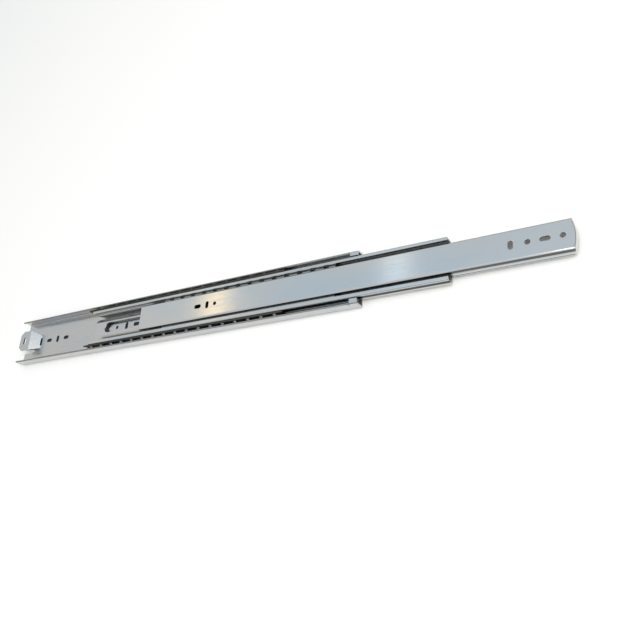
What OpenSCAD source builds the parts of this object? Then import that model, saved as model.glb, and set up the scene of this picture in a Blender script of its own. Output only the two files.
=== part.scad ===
// Telescopic ball-bearing cabinet drawer slide, three nested members.
// X = the way the drawer opens, Y = height of the slide, Z = from the cabinet wall
// towards the drawer. Origin: centre of the cabinet member's back face. Millimetres.
// It is drawn partly open, with the closing and opening travel either side of that.

/* [Cabinet member] */
// length of the cabinet (outer) member
outer_l = 660; // [620:1:700]
// half the height of the slide, to the outside of the flanges
outer_hh = 38.1; // [37.6:0.1:44]
// sheet thickness of the cabinet member
outer_t = 2.3; // [2.1:0.05:2.4]
// bend radius of its web corners, at mid sheet
outer_bend = 2.5; // [2:0.1:4]
// how far the lip wraps over the balls, degrees
lip_wrap = 50; // [44:1:84]
// length of the crimped tab that closes each ball race at the front end
crimp_l = 11; // [8:0.5:16]
// width of the slit behind that tab
crimp_slit = 1.5; // [1:0.1:3]
// distance from the rear end to the root of the raised rear lug
lug_root = 38; // [34:0.5:44]
// height of the rear lug's face above the cabinet wall
lug_z = 17; // [13:0.1:17]
// half width of the rear lug
lug_hw = 17.4; // [14:0.1:17.5]
// half width of the lug at its root
lug_root_hw = 11.5; // [8:0.1:12]

/* [Intermediate member] */
// rear end of the intermediate member
int_rear = -152; // [-170:1:-140]
// its length
int_l = 602; // [560:1:610]
// how far the outside of its flanges stands inside the outer ball rows
int_inset = 2.75; // [2.6:0.05:2.85]
// its sheet thickness
int_t = 1.9; // [1.7:0.05:1.95]
// gap between its race crests and the cabinet member's web
int_gap = 0.3; // [0.25:0.05:0.5]
// gap between its turned-in lips and the drawer member's flanges
int_lip_gap = 4.1; // [3.5:0.1:4.6]
// depth of the recess along the middle of its back
recess_h = 4; // [3:0.1:4.5]
// rear end of the long access window in its web
window_x = -131; // [-140:1:-120]
// length of that window
window_l = 152; // [100:1:170]
// height of that window
window_w = 17; // [8:0.5:18]
// centre of the small lanced slot beside the window
lance_x = -79; // [-90:1:-70]
// distance of that slot from the middle of the web
lance_y = 15; // [13:0.5:16]

/* [Drawer member] */
// rear end of the drawer (inner) member
inner_rear = -43; // [-50:0.1:-40]
// its length over the turned-down front end
inner_l = 638; // [600:1:650]
// how far the outside of its flanges stands inside the inner ball rows
inner_inset = 2.65; // [2.5:0.05:2.85]
// its sheet thickness
inner_t = 1.9; // [1.7:0.05:1.95]
// face of the drawer member above the cabinet wall
depth = 19.1; // [19.1:0.1:19.5]
// bend radius of its web corners, at mid sheet
inner_bend = 2.2; // [1.6:0.1:2.6]
// outside radius of the bend at the turned-down front end
nose_r = 3.2; // [2.6:0.1:5]
// how far the middle of the front end bows out past its corners
nose_bow = 3.4; // [1:0.1:5]

/* [Balls and cages] */
// ball diameter, all four rows
ball_d = 8; // [7.6:0.1:8.05]
// clearance between a ball and its race, on the radius
race_gap = 0.05; // [0.03:0.01:0.1]
// height of the outer ball rows above the cabinet wall
outer_row_z = 12.6; // [12.4:0.05:12.7]
// rear end of the outer cages
ocage_rear = -162; // [-180:1:-162]
// balls in each outer cage
ocage_n = 17; // [10:1:17]
// distance between the outer balls
ocage_pitch = 22; // [16:0.5:22]
// rear end of the inner cages
icage_rear = 0; // [-20:1:10]
// balls in each inner cage
icage_n = 14; // [10:1:14]
// distance between the inner balls
icage_pitch = 20.6; // [16:0.1:21]
// plain length of cage past the first and last ball
cage_end = 14; // [8:0.5:18]
// cage sheet thickness
cage_t = 0.9; // [0.6:0.05:1]

/* [Holes] */
// diameter of the round screw holes
hole_d = 6.6; // [5:0.1:7.2]
// width of the slotted screw holes
slot_w = 6; // [4.5:0.1:6.5]
// their length, end to end
slot_l = 12; // [9:0.5:13]
// middle of the cabinet member's rear hole group, from its rear end
rear_group = 80; // [76:1:84]
// middle of its second hole group, from its rear end
second_group = 242; // [238:1:246]
// pitch inside the cabinet member's groups
group_pitch = 21; // [19:0.5:22]
// pitch of the drawer member's front holes
drawer_pitch = 19; // [17:0.1:20]
// front hole of the drawer member, back from its front face
drawer_first = 14; // [13:0.5:18]
// middle hole of the drawer member's rear group, back from its first hole
drawer_rear_group = 493; // [480:1:500]

/* [Stops] */
// stop pin on the cabinet member's web, from the front end
pin_from_front = 43; // [40:0.5:50]
// diameter of the stop pin's collar
pin_d = 8; // [6:0.1:9]
// rear face of the T-shaped bumper's bar, back from the intermediate's front end
tee_back = 30.5; // [28:0.5:34]
// length of the bar along the slide
tee_bar = 12; // [8:0.5:13]
// length of the nose behind the bar
tee_nose = 15; // [10:0.5:18]
// half width of the bumper bar
tee_hw = 20.7; // [19:0.1:21]
// radius of the round front buffer
buffer_r = 12; // [9:0.5:14]
// how far the front buffer stands out past the intermediate member's end
buffer_out = 4.5; // [2:0.1:5]
// opening travel that is left to the intermediate member
int_open = 200; // [150:1:200]
// opening travel that is left to the drawer member on the intermediate member
inner_open = 212; // [150:1:212]

/* [Hidden] */
$fn = 72;
e = 0.01;
br = ball_d / 2;
race_r = br + race_gap;
outer_x0 = -outer_l / 2;
outer_x1 = outer_l / 2;
int_x1 = int_rear + int_l;
inner_x1 = inner_rear + inner_l;
// outer ball row: the balls sit against the inside of the cabinet flange
orow_y = outer_hh - outer_t - race_r;
int_hh = orow_y - int_inset;
// inner ball row: just clear of the intermediate's floor and of its groove
int_floor = outer_t + int_gap + int_t;
irow_z = int_floor + 0.1 + br;
row_dist = race_r + int_t + br + 0.08;
irow_y = min(orow_y - sqrt(row_dist * row_dist - pow(outer_row_z - irow_z, 2)),
    int_hh - int_t - br - 0.08);
inner_hh = irow_y - inner_inset;
// radius of the small bends either side of each ball groove, at mid sheet
fil = 1.35;
web_back = outer_t + int_gap + recess_h;
web_top = web_back + int_t;
lip_clear = 0.3;
// the turned-down front end is cut to an arc through its corners and its middle
bow_r = (inner_hh * inner_hh + nose_bow * nose_bow) / (2 * nose_bow);

function arc(c) = let (n = max(2, ceil(abs(c[4] - c[3]) / 5)))
    [for (i = [0:n]) let (a = c[3] + (c[4] - c[3]) * i / n)
        [c[0] + c[2] * cos(a), c[1] + c[2] * sin(a)]];
// one side of a bent sheet whose mid line is a chain of tangent arcs
function side(segs, o) = [for (s = segs)
    each arc([s[0], s[1], s[2] - sign(s[4] - s[3]) * o, s[3], s[4]])];
function mirrored(segs) = [for (i = [len(segs) - 1:-1:0]) let (s = segs[i])
    [-s[0], s[1], s[2], 180 - s[4], 180 - s[3]]];
function rev(p) = [for (i = [len(p) - 1:-1:0]) p[i]];
function outline(segs, t) = let (all = concat(mirrored(segs), segs))
    concat(side(all, t / 2), rev(side(all, -t / 2)));

// cabinet member: web, corner, flange and the lip that wraps over the balls
outer_segs = [
    [outer_hh - outer_t / 2 - outer_bend, outer_t / 2 + outer_bend, outer_bend, 270, 360],
    [orow_y, outer_row_z, race_r + outer_t / 2, 0, lip_wrap]];

// intermediate member: recessed web, crest, corner, outer ball groove, turned-in lip
step_a = 32;
step_r = 2;
crest_y = 17.6;
crest_z = int_floor - int_t / 2;
step_run = (recess_h - 2 * step_r * (1 - cos(step_a))) / sin(step_a);
web_y = crest_y - 2 * step_r * sin(step_a) - step_run * cos(step_a);
int_bend = 2.6;
int_g = race_r + int_t / 2;
int_fy = int_hh - int_t / 2 - fil;
int_fz = sqrt((int_g + fil) * (int_g + fil) - (orow_y - int_fy) * (orow_y - int_fy));
int_fa = atan2(int_fz, orow_y - int_fy);
int_segs = [
    [web_y, web_back + int_t / 2 - step_r, step_r, 90, 90 - step_a],
    [crest_y, crest_z + step_r, step_r, 270 - step_a, 270],
    [int_hh - int_t / 2 - int_bend, crest_z + int_bend, int_bend, 270, 360],
    [int_fy, outer_row_z - int_fz, fil, 0, int_fa],
    [orow_y, outer_row_z, int_g, 180 + int_fa, 180 - int_fa],
    [int_fy, outer_row_z + int_fz, fil, -int_fa, 90],
    [inner_hh + int_lip_gap + 0.1, outer_row_z + int_fz, fil, 90, 95]];

// drawer member: web, corner, flange, groove for the inner balls, lip
in_g = race_r + inner_t / 2;
in_fy = inner_hh - inner_t / 2 - fil;
in_fz = sqrt((in_g + fil) * (in_g + fil) - (irow_y - in_fy) * (irow_y - in_fy));
in_fa = atan2(in_fz, irow_y - in_fy);
in_cy = inner_hh - inner_t / 2 - inner_bend;
in_cz = depth - inner_t / 2 - inner_bend;
inner_segs = [
    [in_cy, in_cz, inner_bend, 90, 0],
    [in_fy, irow_z + in_fz, fil, 0, -in_fa],
    [irow_y, irow_z, in_g, 180 - in_fa, 180 + in_fa],
    [in_fy, irow_z - in_fz, fil, in_fa, -20]];

rear_group_x = outer_x0 + rear_group;
second_group_x = outer_x0 + second_group;
pin_x = outer_x1 - pin_from_front;
tee_x0 = int_x1 - tee_back;
tee_x1 = tee_x0 + tee_bar;
buffer_x = int_x1 + buffer_out - buffer_r;
// hidden stops: the closing stops are the bumper's nose and the front buffer
open_stop_x1 = pin_x - pin_d / 2 - 0.2 - int_open;
open_stop_l = 14;
inner_stop_x1 = buffer_x - buffer_r - 0.2 - inner_open;
inner_stop_l = 14;
ocage_l = (ocage_n - 1) * ocage_pitch + 2 * cage_end;
icage_l = (icage_n - 1) * icage_pitch + 2 * cage_end;

// a section drawn in Y and Z, run along X
module bar(x0, x1) {
    translate([x0, 0, 0]) rotate([90, 0, 90]) linear_extrude(height = x1 - x0) children();
}

module hole(x, d, z0, z1) {
    translate([x, 0, z0 - 1]) cylinder(h = z1 - z0 + 2, d = d);
}

// a slotted hole lying along X
module slot(x, w, l, z0, z1) {
    hole(x - (l - w) / 2, w, z0, z1);
    hole(x + (l - w) / 2, w, z0, z1);
    translate([x - (l - w) / 2, -w / 2, z0 - 1]) cube([l - w, w, z1 - z0 + 2]);
}

// a slotted hole standing along Y
module upright(x, w, l, z0, z1) {
    translate([x, 0, 0]) rotate([0, 0, 90]) slot(0, w, l, z0, z1);
}

module rear_lug() {
    x0 = outer_x0 + lug_root;
    run = 12.2;
    intersection() {
        translate([0, 30, 0]) rotate([90, 0, 0]) linear_extrude(height = 60)
            polygon([[x0 + 4, 0], [x0 - 1, 0], [x0 - 1 - run, lug_z - outer_t],
                [outer_x0 + 1, lug_z - outer_t], [outer_x0 + 1, lug_z],
                [x0 - run, lug_z], [x0, outer_t], [x0 + 4, outer_t]]);
        translate([0, 0, -1]) linear_extrude(height = 30)
            polygon([[x0 + 5, lug_root_hw], [x0, lug_root_hw], [x0 - run, lug_hw],
                [outer_x0 + 8, lug_hw], [outer_x0 + 1, 11], [outer_x0 + 1, -11],
                [outer_x0 + 8, -lug_hw], [x0 - run, -lug_hw], [x0, -lug_root_hw],
                [x0 + 5, -lug_root_hw]]);
    }
}

module outer_member() {
    crimp_y = orow_y - 1.75;
    color([0.78, 0.80, 0.82])
    union() {
        difference() {
            bar(outer_x0, outer_x1) polygon(outline(outer_segs, outer_t));
            // the window that the rear lug is bent out of
            translate([0, 0, -1]) linear_extrude(height = outer_t + 2)
                polygon([[outer_x0 - 1, lug_hw + 0.6], [outer_x0 + 18, lug_hw + 0.6],
                    [outer_x0 + lug_root + 2, lug_root_hw],
                    [outer_x0 + lug_root + 2, -lug_root_hw],
                    [outer_x0 + 18, -lug_hw - 0.6], [outer_x0 - 1, -lug_hw - 0.6]]);
            // screw holes
            slot(rear_group_x - group_pitch, slot_w, slot_l, 0, outer_t);
            upright(rear_group_x, slot_w, slot_l, 0, outer_t);
            slot(rear_group_x + group_pitch, slot_w, slot_l, 0, outer_t);
            hole(second_group_x - group_pitch, hole_d - 1, 0, outer_t);
            upright(second_group_x, slot_w, slot_l, 0, outer_t);
            slot(second_group_x + group_pitch, slot_w, slot_l, 0, outer_t);
            hole(outer_x1 - 102, hole_d + 1.4, 0, outer_t);
            hole(outer_x1 - 78, hole_d, 0, outer_t);
            hole(outer_x1 - 12.5, hole_d + 1.4, 0, outer_t);
            hole(pin_x, 5, 0, outer_t);
            // three-cornered opening behind the stop pin
            translate([pin_x - 14, 0, -1]) linear_extrude(height = outer_t + 2)
                polygon([[-5, -3.6], [4.6, 0], [-5, 3.6]]);
            // slit behind each crimped tab
            for (s = [-1, 1])
                translate([outer_x1 - crimp_l - crimp_slit, s > 0 ? crimp_y : -outer_hh - 1,
                    outer_row_z + 1.4])
                    cube([crimp_slit, outer_hh + 1 - crimp_y, race_r + outer_t]);
        }
        // each tab reaches over the race from the end of its lip
        for (s = [-1, 1])
            mirror([0, s < 0 ? 1 : 0, 0])
                translate([outer_x1 - crimp_l, crimp_y + 0.2,
                    outer_row_z + race_r * sin(lip_wrap) - 0.1])
                    cube([crimp_l, 3.15 + race_r * cos(lip_wrap), outer_t - 0.1]);
        difference() {
            rear_lug();
            upright(outer_x0 + 13, 6, 13, 10, 20);
            // relief slot across the root of the lug
            translate([outer_x0 + lug_root - 1, -6.5, -1]) cube([3, 13, 5]);
        }
    }
}

// rivet through the cabinet web; its collar stops the intermediate member both ways
module stop_pin() {
    color([0.72, 0.74, 0.76])
    translate([pin_x, 0, 0]) {
        cylinder(h = outer_t + 1, d = 4.9);
        translate([0, 0, outer_t]) cylinder(h = web_back - outer_t - 0.5, d = pin_d);
    }
}

module intermediate_member() {
    color([0.80, 0.82, 0.84])
    difference() {
        bar(int_rear, int_x1) polygon(outline(int_segs, int_t));
        slot(window_x + window_l / 2, window_w, window_l, web_back, web_top);
        // small lanced slot beside the window
        translate([0, lance_y, 0]) slot(lance_x, 1.8, 7, outer_t, web_top);
        // slots that the bumper's arms pass through
        for (s = [-1, 1])
            translate([tee_x0 - 0.1, s > 0 ? 8.9 : -tee_hw - 0.1, -1])
                cube([tee_bar + 0.2, tee_hw - 8.8, web_top + 2]);
        hole(buffer_x, 5, web_back, web_top);
        hole(open_stop_x1 - open_stop_l / 2, 4.2, web_back, web_top);
        // rear ends of the race lips are cut back to lead the balls in
        for (s = [-1, 1])
            mirror([0, s < 0 ? 1 : 0, 0])
                translate([int_rear, int_hh + 1, web_top + 4]) rotate([0, 0, -45])
                    translate([-4, -4, 0]) cube([4, 8, 12]);
    }
}

// T-shaped plastic bumper; its nose meets the stop pin when the slide is closed
module front_bumper() {
    color([0.42, 0.47, 0.50])
    union() {
        bar(tee_x0, tee_x1)
            polygon([[-tee_hw, outer_t + 0.4], [tee_hw, outer_t + 0.4],
                [tee_hw, int_floor - 0.1], [16.2, int_floor - 0.1], [13.2, web_top - 0.6],
                [9, web_top - 0.6], [9, web_back - 0.05], [-9, web_back - 0.05],
                [-9, web_top - 0.6], [-13.2, web_top - 0.6], [-16.2, int_floor - 0.1],
                [-tee_hw, int_floor - 0.1]]);
        translate([0, 0, outer_t + 0.4]) linear_extrude(height = recess_h - 0.35)
            polygon([[tee_x0 - tee_nose, -4], [tee_x0 + e, -8.4], [tee_x0 + e, 8.4],
                [tee_x0 - tee_nose, 4]]);
    }
}

// round buffer between the webs at the front; the drawer member closes onto it
module front_buffer() {
    color([0.30, 0.34, 0.37])
    translate([buffer_x, 0, 0]) {
        translate([0, 0, web_top + 0.05]) cylinder(h = 5, r = buffer_r);
        translate([0, 0, web_back - 0.6]) cylinder(h = int_t + 1, d = 4.8);
    }
}

// block on the intermediate's back that meets the stop pin when it is fully out
module open_stop() {
    color([0.30, 0.34, 0.37])
    difference() {
        translate([open_stop_x1 - open_stop_l, -7, outer_t + 0.4])
            cube([open_stop_l, 14, recess_h - 0.15]);
        hole(open_stop_x1 - open_stop_l / 2, 4.2, outer_t, web_top);
        translate([open_stop_x1 - open_stop_l / 2, 0, outer_t])
            cylinder(h = 1.8, d = 7.6);
    }
}

module open_stop_rivet() {
    color([0.72, 0.74, 0.76])
    translate([open_stop_x1 - open_stop_l / 2, 0, 0]) {
        translate([0, 0, outer_t + 0.6]) cylinder(h = web_top - outer_t - 0.5, d = 4);
        translate([0, 0, outer_t + 0.6]) cylinder(h = 1.1, d = 7.2);
        translate([0, 0, web_top + 0.05]) cylinder(h = 0.5, d = 6.6);
    }
}

module inner_member() {
    first_x = inner_x1 - drawer_first;
    back = depth - inner_t;
    nose_back = nose_bow + inner_t + 0.5;
    color([0.82, 0.84, 0.86])
    difference() {
        union() {
            // channel, its lips trimmed just above the intermediate's floor
            bar(inner_rear, inner_x1 - nose_bow - 0.3) intersection() {
                polygon(outline(inner_segs, inner_t));
                translate([-30, int_floor + lip_clear]) square([60, 30]);
            }
            // turned-down front end, bowed: web, bend and wall turned about the bow's axis
            intersection() {
                translate([inner_x1 - bow_r, 0, 0]) rotate_extrude($fn = 360)
                    polygon(concat([[bow_r - nose_back - 1, depth]],
                        arc([bow_r - nose_r, depth - nose_r, nose_r, 90, 0]),
                        [[bow_r, int_floor + 2], [bow_r - inner_t, int_floor + 2]],
                        arc([bow_r - nose_r, depth - nose_r, nose_r - inner_t, 0, 90]),
                        [[bow_r - nose_back - 1, depth - inner_t]]));
                bar(inner_x1 - nose_back, inner_x1 + 1)
                    polygon(concat([[-inner_hh, 0], [inner_hh, 0]],
                        arc([in_cy, in_cz, inner_bend + inner_t / 2, 0, 90]),
                        arc([-in_cy, in_cz, inner_bend + inner_t / 2, 90, 180])));
            }
        }
        // rear and front groups of screw holes
        slot(first_x - drawer_rear_group - 17.5, slot_w, slot_l, back, depth);
        upright(first_x - drawer_rear_group, slot_w - 0.6, slot_l - 1, back, depth);
        hole(first_x - drawer_rear_group + 14, hole_d - 1, back, depth);
        upright(first_x - 3 * drawer_pitch, slot_w, slot_l - 1, back, depth);
        hole(first_x - 2 * drawer_pitch, hole_d, back, depth);
        slot(first_x - drawer_pitch, slot_w, slot_l, back, depth);
        hole(first_x, hole_d, back, depth);
    }
}

// nylon block snapped between the drawer member's flanges; meets the front buffer
module inner_stop() {
    y1 = irow_y - race_r - inner_t - 0.6;
    y2 = inner_hh - inner_t - 0.15;
    color([0.90, 0.90, 0.88])
    bar(inner_stop_x1 - inner_stop_l, inner_stop_x1)
        polygon([[-y1, web_top + 1], [y1, web_top + 1], [y1, irow_z + 3.4],
            [y2, irow_z + 5.4], [y2, depth - inner_t - 1.6], [y2 - 1.5, depth - inner_t - 0.1],
            [1.5 - y2, depth - inner_t - 0.1], [-y2, depth - inner_t - 1.6],
            [-y2, irow_z + 5.4], [-y1, irow_z + 3.4]]);
}

// angle strip along the intermediate's flange: a hole per ball, top leg over the balls
module outer_cage() {
    y0 = int_hh + 0.35;
    z1 = outer_row_z + br + 0.4;
    difference() {
        union() {
            translate([ocage_rear, y0, outer_row_z - 5.2])
                cube([ocage_l, cage_t, z1 + cage_t - outer_row_z + 5.2]);
            translate([ocage_rear, y0, z1]) cube([ocage_l, orow_y - y0, cage_t]);
        }
        for (i = [0:ocage_n - 1])
            translate([ocage_rear + cage_end + i * ocage_pitch, int_hh, outer_row_z])
                rotate([-90, 0, 0]) cylinder(h = 3, d = ball_d - 0.3);
    }
}

// angle strip along the drawer member's flange: windows above, forks between the balls
module inner_cage() {
    y0 = inner_hh + 0.4;
    z1 = irow_z + br + 0.6;
    // the top leg ends short of the groove in the intermediate's flange
    top_w = orow_y - race_r - int_t - 0.6 - y0;
    difference() {
        union() {
            translate([icage_rear, y0, z1]) cube([icage_l, top_w, cage_t]);
            translate([icage_rear, y0, int_floor + 0.7]) cube([icage_l, cage_t, z1 - int_floor]);
        }
        for (i = [0:icage_n - 1])
            translate([icage_rear + cage_end + i * icage_pitch, 0, 0]) {
                translate([0, y0 - 1, irow_z]) rotate([-90, 0, 0]) cylinder(h = 3, d = ball_d - 0.1);
                translate([-br, y0 + 1.5, z1 - 1]) cube([ball_d, top_w - 2.5, 3]);
            }
    }
}

module ball_row(x0, n, pitch, y, z) {
    for (i = [0:n - 1]) translate([x0 + i * pitch, y, z]) sphere(r = br);
}

module outer_cage_upper() {
    color([0.17, 0.18, 0.19]) outer_cage();
}

module outer_cage_lower() {
    color([0.17, 0.18, 0.19]) mirror([0, 1, 0]) outer_cage();
}

module outer_balls_upper() {
    color([0.86, 0.87, 0.88])
    ball_row(ocage_rear + cage_end, ocage_n, ocage_pitch, orow_y, outer_row_z);
}

module outer_balls_lower() {
    color([0.86, 0.87, 0.88])
    ball_row(ocage_rear + cage_end, ocage_n, ocage_pitch, -orow_y, outer_row_z);
}

module inner_cage_upper() {
    color([0.70, 0.72, 0.74]) inner_cage();
}

module inner_cage_lower() {
    color([0.70, 0.72, 0.74]) mirror([0, 1, 0]) inner_cage();
}

module inner_balls_upper() {
    color([0.86, 0.87, 0.88])
    ball_row(icage_rear + cage_end, icage_n, icage_pitch, irow_y, irow_z);
}

module inner_balls_lower() {
    color([0.86, 0.87, 0.88])
    ball_row(icage_rear + cage_end, icage_n, icage_pitch, -irow_y, irow_z);
}

outer_member();
stop_pin();
intermediate_member();
front_bumper();
front_buffer();
open_stop();
open_stop_rivet();
inner_member();
inner_stop();
outer_cage_upper();
outer_cage_lower();
outer_balls_upper();
outer_balls_lower();
inner_cage_upper();
inner_cage_lower();
inner_balls_upper();
inner_balls_lower();
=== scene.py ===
import bpy
import numpy as np
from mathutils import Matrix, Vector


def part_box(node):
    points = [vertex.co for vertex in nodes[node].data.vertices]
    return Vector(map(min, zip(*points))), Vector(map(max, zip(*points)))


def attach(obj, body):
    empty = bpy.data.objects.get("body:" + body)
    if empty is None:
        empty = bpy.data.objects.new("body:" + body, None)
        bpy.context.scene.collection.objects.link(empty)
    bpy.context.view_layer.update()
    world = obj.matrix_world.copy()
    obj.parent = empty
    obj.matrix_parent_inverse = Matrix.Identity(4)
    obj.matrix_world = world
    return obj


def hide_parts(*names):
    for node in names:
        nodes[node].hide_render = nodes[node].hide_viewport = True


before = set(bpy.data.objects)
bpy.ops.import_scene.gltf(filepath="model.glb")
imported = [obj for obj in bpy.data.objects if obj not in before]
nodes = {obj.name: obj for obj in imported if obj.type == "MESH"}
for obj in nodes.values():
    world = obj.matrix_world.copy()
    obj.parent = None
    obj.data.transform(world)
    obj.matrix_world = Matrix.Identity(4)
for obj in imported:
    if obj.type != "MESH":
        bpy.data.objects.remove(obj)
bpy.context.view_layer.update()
scene = bpy.context.scene

# The camera: above and in front of the slide's open end, on the side of its lower edge, looking
# back along the three members, with the slide running from the lower left to the upper right.
view = bpy.data.cameras.new("view")
view.lens = 36.56
view.sensor_width = 36.0
view.clip_start = 0.02
camera = bpy.data.objects.new("camera", view)
scene.collection.objects.link(camera)
camera.location = (0.67155, -0.35546, 0.68788)
camera.rotation_euler = (0.39625, 0.51340, 0.04943)
scene.camera = camera
scene.view_settings.view_transform = "Standard"

# The bench: a matt white table top that the cabinet member lies on, back down, with the faint
# unevenness of roller-painted board.
bench_size = 40.0
half = bench_size / 2
bench_mesh = bpy.data.meshes.new("bench")
bench_mesh.from_pydata([(-half, -half, 0), (half, -half, 0), (half, half, 0), (-half, half, 0)],
                       [], [(0, 1, 2, 3)])
bench = bpy.data.objects.new("bench", bench_mesh)
scene.collection.objects.link(bench)
bench.location.z = -0.0003
bench_paint = bpy.data.materials.new("bench_paint")
bench_paint.use_nodes = True
paint = bench_paint.node_tree
paint_shader = paint.nodes["Principled BSDF"]
paint_shader.inputs["Roughness"].default_value = 0.85
paint_place = paint.nodes.new("ShaderNodeTexCoord")
paint_cloud = paint.nodes.new("ShaderNodeTexNoise")
paint_cloud.inputs["Scale"].default_value = 1.7
paint_tone = paint.nodes.new("ShaderNodeMix")
paint_tone.data_type = "RGBA"
paint_tone.inputs["A"].default_value = (0.95, 0.935, 0.91, 1)
paint_tone.inputs["B"].default_value = (0.97, 0.955, 0.935, 1)
paint.links.new(paint_place.outputs["Object"], paint_cloud.inputs["Vector"])
paint.links.new(paint_cloud.outputs["Fac"], paint_tone.inputs["Factor"])
paint.links.new(paint_tone.outputs["Result"], paint_shader.inputs["Base Color"])
bench.data.materials.append(bench_paint)

# A dark sheet on the bench, under the cabinet member, narrower and shorter than its web: painted
# shade that shows only through that member's screw holes, so that they read dark on a pale bench.
shade_strip_rear, shade_strip_front, shade_strip_half = -0.31, 0.325, 0.013
shade_strip_mesh = bpy.data.meshes.new("painted_shade_strip")
shade_strip_mesh.from_pydata([(shade_strip_rear, -shade_strip_half, 0), (shade_strip_front, -shade_strip_half, 0),
                       (shade_strip_front, shade_strip_half, 0), (shade_strip_rear, shade_strip_half, 0)], [], [(0, 1, 2, 3)])
shade_sheet = bpy.data.objects.new("painted_shade_strip", shade_strip_mesh)
scene.collection.objects.link(shade_sheet)
shade_sheet.location.z = -0.0001
shade_strip_black = bpy.data.materials.new("shade_strip_black")
shade_strip_black.use_nodes = True
shade_strip_nodes = shade_strip_black.node_tree
shade_strip_shader = shade_strip_nodes.nodes["Principled BSDF"]
shade_strip_shader.inputs["Roughness"].default_value = 0.95
shade_strip_place = shade_strip_nodes.nodes.new("ShaderNodeTexCoord")
shade_strip_grain = shade_strip_nodes.nodes.new("ShaderNodeTexNoise")
shade_strip_grain.inputs["Scale"].default_value = 900
shade_strip_tone = shade_strip_nodes.nodes.new("ShaderNodeMix")
shade_strip_tone.data_type = "RGBA"
shade_strip_tone.inputs["A"].default_value = (0.012, 0.016, 0.024, 1)
shade_strip_tone.inputs["B"].default_value = (0.030, 0.036, 0.048, 1)
shade_strip_nodes.links.new(shade_strip_place.outputs["Object"], shade_strip_grain.inputs["Vector"])
shade_strip_nodes.links.new(shade_strip_grain.outputs["Fac"], shade_strip_tone.inputs["Factor"])
shade_strip_nodes.links.new(shade_strip_tone.outputs["Result"], shade_strip_shader.inputs["Base Color"])
shade_strip_mesh.materials.append(shade_strip_black)

# The studio: the steel mirrors a room that is dim along the horizon, so that its grooves stay dark,
# and a cool grey higher up; seen past the bench it is a plain pale backdrop. One large soft lamp
# hangs behind the camera, and two narrow strips show as the pale patches on the drawer member.
room = bpy.data.worlds.new("room")
room.use_nodes = True
air = room.node_tree
air_place = air.nodes.new("ShaderNodeTexCoord")
air_split = air.nodes.new("ShaderNodeSeparateXYZ")
air_tones = air.nodes.new("ShaderNodeValToRGB")
heights = ((0.0, (0.10, 0.095, 0.09)), (0.26, (0.34, 0.32, 0.29)), (0.50, (0.88, 0.84, 0.78)),
           (0.66, (0.80, 0.83, 0.85)), (0.82, (0.68, 0.79, 0.88)), (1.0, (0.92, 0.95, 0.98)))
ramp = air_tones.color_ramp.elements
for step, (height, tone) in enumerate(heights):
    stop = ramp[step] if step < 2 else ramp.new(height)
    stop.position = height
    stop.color = (*tone, 1)
air.links.new(air_place.outputs["Generated"], air_split.inputs["Vector"])
air.links.new(air_split.outputs["Z"], air_tones.inputs["Fac"])
mirrored = air.nodes["Background"]
mirrored.inputs["Strength"].default_value = 1.0
air.links.new(air_tones.outputs["Color"], mirrored.inputs["Color"])
backdrop = air.nodes.new("ShaderNodeBackground")
backdrop.inputs["Color"].default_value = (0.93, 0.93, 0.92, 1)
seen = air.nodes.new("ShaderNodeLightPath")
choice = air.nodes.new("ShaderNodeMixShader")
air.links.new(seen.outputs["Is Camera Ray"], choice.inputs["Fac"])
air.links.new(mirrored.outputs["Background"], choice.inputs[1])
air.links.new(backdrop.outputs["Background"], choice.inputs[2])
air.links.new(choice.outputs["Shader"], air.nodes["World Output"].inputs["Surface"])
scene.world = room


def soft_lamp(name, aim, towards, reach, along_x, along_y, glow, tone):
    """A rectangular lamp at a distance reach from the point aim along the direction towards. It is
    tilted about Y only, so its mirror image in a web stays square to the slide; glow is the
    brightness of its face, so its power is glow x pi x area."""
    lamp = bpy.data.lights.new(name, "AREA")
    lamp.shape = "RECTANGLE"
    lamp.size, lamp.size_y = along_x, along_y
    lamp.energy = glow * np.pi * along_x * along_y
    lamp.color = tone
    holder = bpy.data.objects.new(name, lamp)
    scene.collection.objects.link(holder)
    way = np.array(towards) / np.linalg.norm(towards)
    holder.location = np.array(aim) + way * reach
    holder.rotation_euler = (0, np.arctan2(way[0], way[2]), 0)


face_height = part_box("inner_member")[1].z
strip_reach = 1.5
soft_lamp("big_softbox", (0, 0, 0), (0.55, -0.20, 1.10), 2.4, 1.8, 1.8, 2.9, (1.0, 0.985, 0.96))
soft_lamp("white_strip", (0.383, 0.004, face_height), (-0.354, 0.437, 0.828), strip_reach,
          0.085, 0.30, 0.50, (0.97, 1.0, 1.0))
soft_lamp("warm_strip", (0.106, 0.004, face_height), (-0.600, 0.380, 0.704), strip_reach,
          0.075, 0.30, 1.25, (1.0, 0.70, 0.30))


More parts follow.
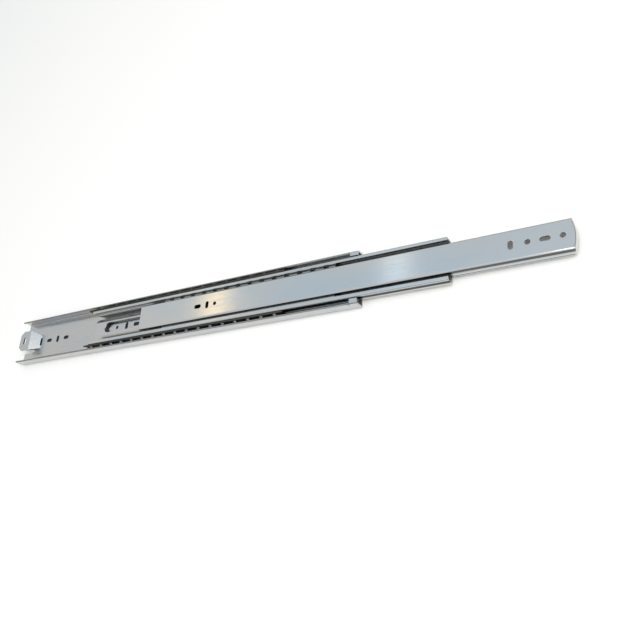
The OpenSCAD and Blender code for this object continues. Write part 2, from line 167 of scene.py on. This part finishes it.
# Cabinet member: the widest channel, roll formed from 2.3 mm sheet steel, zinc plated bright. Its
# lips curl over the outer balls, and it is screwed to the cabinet wall through its slots.
def zinc_sheet(name, blue, warm, rough, seed, track=None):
    """Bright zinc plate on rolled sheet: a slow drift between a blue and a warm tone, fine rolling
    lines along X that change its gloss and height, sparse sliding scuffs, and softened edges.
    track is (height, half width, least |y|) of a line along the flange that grease darkens."""
    plate = bpy.data.materials.new(name)
    plate.use_nodes = True
    tree = plate.node_tree
    shader = tree.nodes["Principled BSDF"]
    shader.inputs["Metallic"].default_value = 1.0
    place = tree.nodes.new("ShaderNodeTexCoord")

    def noise(stretch, detail, roughness):
        """Noise whose grain is 1 / stretch metres long on each axis."""
        turn = tree.nodes.new("ShaderNodeMapping")
        turn.inputs["Scale"].default_value = stretch
        turn.inputs["Location"].default_value = (seed, 2 * seed, 3 * seed)
        grain = tree.nodes.new("ShaderNodeTexNoise")
        grain.inputs["Scale"].default_value = 1.0
        grain.inputs["Detail"].default_value = detail
        grain.inputs["Roughness"].default_value = roughness
        tree.links.new(place.outputs["Object"], turn.inputs["Vector"])
        tree.links.new(turn.outputs["Vector"], grain.inputs["Vector"])
        return grain.outputs["Fac"]

    def ranged(value, from_low, from_high, low, high):
        """value carried from one range to another, clamped at both ends."""
        change = tree.nodes.new("ShaderNodeMapRange")
        change.inputs["From Min"].default_value = from_low
        change.inputs["From Max"].default_value = from_high
        change.inputs["To Min"].default_value = low
        change.inputs["To Max"].default_value = high
        tree.links.new(value, change.inputs["Value"])
        return change.outputs["Result"]

    def absolute(value):
        """The value without its sign."""
        size = tree.nodes.new("ShaderNodeMath")
        size.operation = "ABSOLUTE"
        tree.links.new(value, size.inputs[0])
        return size.outputs[0]

    def summed(first, second):
        """The sum of two values."""
        add = tree.nodes.new("ShaderNodeMath")
        add.operation = "ADD"
        tree.links.new(first, add.inputs[0])
        tree.links.new(second, add.inputs[1])
        return add.outputs[0]

    drift = noise((9, 26, 26), 3, 0.5)
    lines = noise((14, 1300, 1300), 3, 0.6)
    scuffs = noise((38, 520, 520), 6, 0.75)
    grain = noise((1800, 1800, 1800), 2, 0.5)
    tone = tree.nodes.new("ShaderNodeMix")
    tone.data_type = "RGBA"
    tone.inputs["A"].default_value = (*blue, 1)
    tone.inputs["B"].default_value = (*warm, 1)
    tree.links.new(ranged(drift, 0.38, 0.66, 0, 1), tone.inputs["Factor"])
    dulled = tree.nodes.new("ShaderNodeMix")
    dulled.data_type = "RGBA"
    dulled.blend_type = "MULTIPLY"
    dulled.inputs["B"].default_value = (0.80, 0.80, 0.81, 1)
    tree.links.new(ranged(scuffs, 0.62, 0.74, 0, 1), dulled.inputs["Factor"])
    tree.links.new(tone.outputs["Result"], dulled.inputs["A"])
    plated = dulled.outputs["Result"]
    if track:
        track_height, half_width, least_y = track
        apart = tree.nodes.new("ShaderNodeSeparateXYZ")
        tree.links.new(place.outputs["Object"], apart.inputs["Vector"])
        above = tree.nodes.new("ShaderNodeMath")
        above.operation = "SUBTRACT"
        above.inputs[1].default_value = track_height
        tree.links.new(apart.outputs["Z"], above.inputs[0])
        film = ranged(absolute(above.outputs[0]), 0.6 * half_width, half_width, 1, 0)
        outside = ranged(absolute(apart.outputs["Y"]), least_y - 0.0004, least_y, 0, 1)
        both = tree.nodes.new("ShaderNodeMath")
        both.operation = "MULTIPLY"
        tree.links.new(film, both.inputs[0])
        tree.links.new(outside, both.inputs[1])
        greased = tree.nodes.new("ShaderNodeMix")
        greased.data_type = "RGBA"
        greased.blend_type = "MULTIPLY"
        greased.inputs["B"].default_value = (0.17, 0.16, 0.15, 1)
        tree.links.new(both.outputs[0], greased.inputs["Factor"])
        tree.links.new(plated, greased.inputs["A"])
        plated = greased.outputs["Result"]
    tree.links.new(plated, shader.inputs["Base Color"])
    gloss = summed(ranged(lines, 0.3, 0.7, rough - 0.03, rough + 0.05),
                   ranged(scuffs, 0.60, 0.74, 0, 0.16))
    tree.links.new(gloss, shader.inputs["Roughness"])
    edges = tree.nodes.new("ShaderNodeBevel")
    edges.samples = 6
    edges.inputs["Radius"].default_value = 0.00035
    relief = tree.nodes.new("ShaderNodeBump")
    relief.inputs["Strength"].default_value = 0.35
    relief.inputs["Distance"].default_value = 0.00002
    tree.links.new(summed(lines, grain), relief.inputs["Height"])
    tree.links.new(edges.outputs["Normal"], relief.inputs["Normal"])
    tree.links.new(relief.outputs["Normal"], shader.inputs["Normal"])
    return plate


sharp_fold = np.radians(24)
bends = bpy.data.node_groups.new("smooth_bends", "GeometryNodeTree")
bends.interface.new_socket("Geometry", in_out="INPUT", socket_type="NodeSocketGeometry")
bends.interface.new_socket("Geometry", in_out="OUTPUT", socket_type="NodeSocketGeometry")
bends_in = bends.nodes.new("NodeGroupInput")
bends_out = bends.nodes.new("NodeGroupOutput")
joined = bends.nodes.new("GeometryNodeMergeByDistance")
joined.inputs["Distance"].default_value = 2e-7
faces_soft = bends.nodes.new("GeometryNodeSetShadeSmooth")
faces_soft.domain = "FACE"
edges_sharp = bends.nodes.new("GeometryNodeSetShadeSmooth")
edges_sharp.domain = "EDGE"
edges_sharp.inputs["Shade Smooth"].default_value = False
fold = bends.nodes.new("GeometryNodeInputMeshEdgeAngle")
is_sharp = bends.nodes.new("FunctionNodeCompare")
is_sharp.operation = "GREATER_THAN"
is_sharp.inputs["B"].default_value = sharp_fold
bends.links.new(bends_in.outputs["Geometry"], joined.inputs["Geometry"])
bends.links.new(joined.outputs["Geometry"], faces_soft.inputs["Geometry"])
bends.links.new(faces_soft.outputs["Geometry"], edges_sharp.inputs["Geometry"])
bends.links.new(fold.outputs["Unsigned Angle"], is_sharp.inputs["A"])
bends.links.new(is_sharp.outputs["Result"], edges_sharp.inputs["Selection"])
bends.links.new(edges_sharp.outputs["Geometry"], bends_out.inputs["Geometry"])


def finish_piece(node, finish):
    """Gives a CAD node its finish, and shades its bends round and its cut edges sharp."""
    piece = nodes[node]
    piece.data.materials.clear()
    piece.data.materials.append(finish)
    smooth = piece.modifiers.new("smooth_bends", "NODES")
    smooth.node_group = bends
    weigh = piece.modifiers.new("flat_faces_stay_flat", "WEIGHTED_NORMAL")
    weigh.keep_sharp = True
    weigh.weight = 100


cabinet_plate = zinc_sheet("cabinet_plate", (0.52, 0.55, 0.58), (0.57, 0.565, 0.55), 0.24, 3.0)
finish_piece("outer_member", cabinet_plate)


# Stop pin: a steel rivet headed over on the cabinet member's web near its front end. The bumper
# and the opening stop of the intermediate member meet its collar.
def turned(profile, x, y, turns):
    """Radius and height pairs turned about an upright line at (x, y): point(u, v) is
    (x + r(v) cos u, y + r(v) sin u, z(v)); the first and last radius are 0, so both ends close."""
    radius, height = np.array(profile[1:-1], float).T
    u = np.linspace(0, 2 * np.pi, turns, endpoint=False)
    rings = np.stack([x + radius[:, None] * np.cos(u), y + radius[:, None] * np.sin(u),
                      height[:, None] + 0 * u], -1).reshape(-1, 3)
    points = np.vstack([[x, y, profile[0][1]], rings, [x, y, profile[-1][1]]])
    row = 1 + np.arange(len(radius) - 1)[:, None] * turns
    j = np.arange(turns)
    k = (j + 1) % turns
    sides = np.stack([row + j, row + k, row + k + turns, row + j + turns], -1).reshape(-1, 4)
    top = 1 + (len(radius) - 1) * turns
    foot = np.stack([0 * j, 1 + k, 1 + j], -1)
    crown = np.stack([0 * j + len(points) - 1, top + j, top + k], -1)
    return points, [sides, foot, crown]


def new_piece(name, points, faces, material, body, slot, replaced=()):
    """A smooth-shaded mesh piece from arrays of points and of faces, riding on its CAD body."""
    mesh = bpy.data.meshes.new(name)
    mesh.from_pydata(points.tolist(), [], [tuple(f) for group in faces for f in group.tolist()])
    mesh.shade_smooth()
    mesh.materials.append(material)
    piece = bpy.data.objects.new(name, mesh)
    scene.collection.objects.link(piece)
    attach(piece, body)
    if replaced:
        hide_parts(*replaced)
    return piece


pin_low, pin_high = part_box("stop_pin")
pin_x = (pin_low.x + pin_high.x) / 2
pin_r = (pin_high.x - pin_low.x) / 2
pin_top = pin_high.z
pin_foot = 0.0023  # the web's thickness: the collar stands on it
shank_r, hole_r = 0.0022, 0.00245
rivet_plate = zinc_sheet("rivet_plate", (0.66, 0.70, 0.73), (0.72, 0.71, 0.69), 0.30, 7.0)
pin_profile = [(0, 0), (shank_r, 0), (hole_r, 0.0002), (hole_r, pin_foot),
               (pin_r - 0.0003, pin_foot), (pin_r, pin_foot + 0.0003), (pin_r, pin_top - 0.0007),
               (pin_r - 0.0002, pin_top - 0.0003), (pin_r - 0.0007, pin_top), (shank_r, pin_top),
               (0.0016, pin_top - 0.0004), (0, pin_top - 0.0005)]
new_piece("stop_pin_rivet", *turned(pin_profile, pin_x, 0, 64), rivet_plate, "cabinet_member",
          "rivet_steel", ["stop_pin"])

# Outer cages and balls: a punched strip, coloured near black, in each gap between the cabinet
# member and the intermediate member. Each holds a row of 8 mm bearing balls, painted dark with
# the shade of the gap.
outer_balls = 17
dark_strip = zinc_sheet("dark_strip", (0.055, 0.058, 0.062), (0.095, 0.088, 0.080), 0.44, 11.0)
for cage in ("outer_cage_upper", "outer_cage_lower"):
    finish_piece(cage, dark_strip)

# The balls' steel is painted dark, a painted shade of the gaps they run in, with a random mottle in
# tone and gloss.
ball_steel = bpy.data.materials.new("ball_steel")
ball_steel.use_nodes = True
ball_tree = ball_steel.node_tree
ball_shader = ball_tree.nodes["Principled BSDF"]
ball_shader.inputs["Metallic"].default_value = 1.0
ball_place = ball_tree.nodes.new("ShaderNodeTexCoord")
ball_mottle = ball_tree.nodes.new("ShaderNodeTexNoise")
ball_mottle.inputs["Scale"].default_value = 420
ball_mottle.inputs["Detail"].default_value = 4
ball_shade_tone = ball_tree.nodes.new("ShaderNodeMix")
ball_shade_tone.data_type = "RGBA"
ball_shade_tone.inputs["A"].default_value = (0.20, 0.20, 0.205, 1)
ball_shade_tone.inputs["B"].default_value = (0.09, 0.085, 0.075, 1)
ball_gloss = ball_tree.nodes.new("ShaderNodeMapRange")
ball_gloss.inputs["From Min"].default_value = 0.35
ball_gloss.inputs["From Max"].default_value = 0.75
ball_gloss.inputs["To Min"].default_value = 0.30
ball_gloss.inputs["To Max"].default_value = 0.52
ball_tree.links.new(ball_place.outputs["Object"], ball_mottle.inputs["Vector"])
ball_tree.links.new(ball_mottle.outputs["Fac"], ball_gloss.inputs["Value"])
ball_tree.links.new(ball_mottle.outputs["Fac"], ball_shade_tone.inputs["Factor"])
ball_tree.links.new(ball_gloss.outputs["Result"], ball_shader.inputs["Roughness"])
ball_tree.links.new(ball_shade_tone.outputs["Result"], ball_shader.inputs["Base Color"])


def ball_row(node, count, body):
    """Replaces a CAD row of balls by true spheres: one turned half circle, repeated along X."""
    low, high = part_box(node)
    radius = (high.z - low.z) / 2
    angle = np.linspace(-np.pi / 2, np.pi / 2, 19)
    profile = np.stack([radius * np.cos(angle), radius * np.sin(angle)], -1)
    profile[[0, -1], 0] = 0
    ball, faces = turned(profile, 0, 0, 28)
    centres = np.zeros((count, 3))
    centres[:, 0] = np.linspace(low.x + radius, high.x - radius, count)
    centres[:, 1:] = (low.y + radius, low.z + radius)
    points = (centres[:, None, :] + ball[None]).reshape(-1, 3)
    step = np.arange(count)[:, None, None] * len(ball)
    rows = [(group[None] + step).reshape(-1, group.shape[1]) for group in faces]
    new_piece(node + "_set", points, rows, ball_steel, body, "ball_steel", [node])


for row_name in ("outer_balls_upper", "outer_balls_lower"):
    ball_row(row_name, outer_balls, "outer_cages")

# Intermediate member: the middle channel, with a recessed web and a groove down each flange that
# the outer balls run in; a long window in its web gives access to the screws behind.
middle_plate = zinc_sheet("middle_plate", (0.54, 0.57, 0.59), (0.60, 0.59, 0.57), 0.22, 17.0,
                          track=(0.0128, 0.0040, 0.0255))
finish_piece("intermediate_member", middle_plate)


# Front bumper: a slate-grey moulded T that snaps into the intermediate member's web from the back.
# Its nose meets the stop pin when the slide is closed.
def moulded(name, deep, pale, rough, seed):
    """Moulded plastic or rubber: a faint flow marbling between two tones, a fine spark-eroded
    texture in height and gloss, and softened edges."""
    stuff = bpy.data.materials.new(name)
    stuff.use_nodes = True
    tree = stuff.node_tree
    shader = tree.nodes["Principled BSDF"]
    place = tree.nodes.new("ShaderNodeTexCoord")
    flow = tree.nodes.new("ShaderNodeTexNoise")
    flow.inputs["Scale"].default_value = 90 + seed
    flow.inputs["Detail"].default_value = 4
    flow.inputs["Distortion"].default_value = 1.2
    tone = tree.nodes.new("ShaderNodeMix")
    tone.data_type = "RGBA"
    tone.inputs["A"].default_value = (*deep, 1)
    tone.inputs["B"].default_value = (*pale, 1)
    skin = tree.nodes.new("ShaderNodeTexNoise")
    skin.inputs["Scale"].default_value = 2600
    skin.inputs["Detail"].default_value = 3
    gloss = tree.nodes.new("ShaderNodeMapRange")
    gloss.inputs["To Min"].default_value = rough - 0.08
    gloss.inputs["To Max"].default_value = rough + 0.10
    edges = tree.nodes.new("ShaderNodeBevel")
    edges.samples = 6
    edges.inputs["Radius"].default_value = 0.0004
    relief = tree.nodes.new("ShaderNodeBump")
    relief.inputs["Strength"].default_value = 0.5
    relief.inputs["Distance"].default_value = 0.00004
    tree.links.new(place.outputs["Object"], flow.inputs["Vector"])
    tree.links.new(place.outputs["Object"], skin.inputs["Vector"])
    tree.links.new(flow.outputs["Fac"], tone.inputs["Factor"])
    tree.links.new(tone.outputs["Result"], shader.inputs["Base Color"])
    tree.links.new(skin.outputs["Fac"], gloss.inputs["Value"])
    tree.links.new(gloss.outputs["Result"], shader.inputs["Roughness"])
    tree.links.new(skin.outputs["Fac"], relief.inputs["Height"])
    tree.links.new(edges.outputs["Normal"], relief.inputs["Normal"])
    tree.links.new(relief.outputs["Normal"], shader.inputs["Normal"])
    return stuff


slate_plastic = moulded("slate_plastic", (0.10, 0.14, 0.17), (0.16, 0.19, 0.21), 0.42, 0.0)
finish_piece("front_bumper", slate_plastic)

# Front buffer: a round rubber disc riveted between the webs at the intermediate member's front
# end. The drawer member's turned-down front end closes onto it.
dark_rubber = moulded("dark_rubber", (0.035, 0.042, 0.048), (0.06, 0.065, 0.07), 0.62, 31.0)
low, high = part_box("front_buffer")
buffer_x = (low.x + high.x) / 2
buffer_r = (high.x - low.x) / 2
buffer_low, buffer_top = high.z - 0.005, high.z
stud_r = 0.0024
soft = 0.0009
dish = 0.0006
corner = np.linspace(0, np.pi / 2, 6)
buffer_profile = np.vstack([
    [(0, low.z), (stud_r - 0.0003, low.z), (stud_r, low.z + 0.0003), (stud_r, buffer_low),
     (buffer_r - soft, buffer_low)],
    np.stack([buffer_r - soft + soft * np.sin(corner),
              buffer_low + soft - soft * np.cos(corner)], -1),
    np.stack([buffer_r - soft + soft * np.cos(corner),
              buffer_top - soft + soft * np.sin(corner)], -1),
    [(0.62 * buffer_r, buffer_top), (0.56 * buffer_r, buffer_top - dish),
     (0.3 * buffer_r, buffer_top - dish), (0.24 * buffer_r, buffer_top - 0.0001),
     (0, buffer_top - 0.0001)]])
new_piece("front_buffer_disc", *turned(buffer_profile, buffer_x, 0, 72), dark_rubber,
          "intermediate", "buffer_rubber", ["front_buffer"])

# Opening stop: a hard rubber block riveted under the intermediate member's web. It meets the stop
# pin when the slide is fully out.
finish_piece("open_stop", dark_rubber)
low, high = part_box("open_stop_rivet")
rivet_x = (low.x + high.x) / 2
head_r = (high.x - low.x) / 2
head_top = low.z + 0.0011
neck_r, dome_r, dome_rise = 0.002, 0.0033, 0.0005
dome_foot = high.z - dome_rise
dome = np.linspace(0, np.pi / 2, 8)
rivet_profile = np.vstack([
    [(0, low.z), (head_r - 0.0005, low.z), (head_r, low.z + 0.0004), (head_r, head_top),
     (neck_r, head_top), (neck_r, dome_foot)],
    np.stack([dome_r * np.cos(dome), dome_foot + dome_rise * np.sin(dome)], -1)])
rivet_profile[-1, 0] = 0
new_piece("open_stop_rivet_headed", *turned(rivet_profile, rivet_x, 0, 48), rivet_plate,
          "intermediate", "rivet_steel", ["open_stop_rivet"])

# Inner cages and balls: angle strips between the intermediate and the drawer member, with a
# window over each ball.
inner_balls = 14
cage_plate = zinc_sheet("cage_plate", (0.58, 0.62, 0.65), (0.66, 0.65, 0.62), 0.34, 19.0)
for cage in ("inner_cage_upper", "inner_cage_lower"):
    finish_piece(cage, cage_plate)
# These balls take the same steel, painted dark as shade.
for row_name in ("inner_balls_upper", "inner_balls_lower"):
    ball_row(row_name, inner_balls, "inner_cages")

# Drawer member: the narrow inner channel that is screwed to the drawer's side. Its front end is
# turned down over the buffer.
drawer_plate = zinc_sheet("drawer_plate", (0.56, 0.59, 0.61), (0.61, 0.60, 0.58), 0.12, 23.0,
                          track=(0.0157, 0.0027, 0.0182))
finish_piece("inner_member", drawer_plate)

# Inner stop: a nylon block snapped between the drawer member's flanges near its rear. It meets the
# buffer when the drawer member is fully out.
natural_nylon = moulded("natural_nylon", (0.72, 0.71, 0.66), (0.80, 0.79, 0.75), 0.38, 53.0)
finish_piece("inner_stop", natural_nylon)
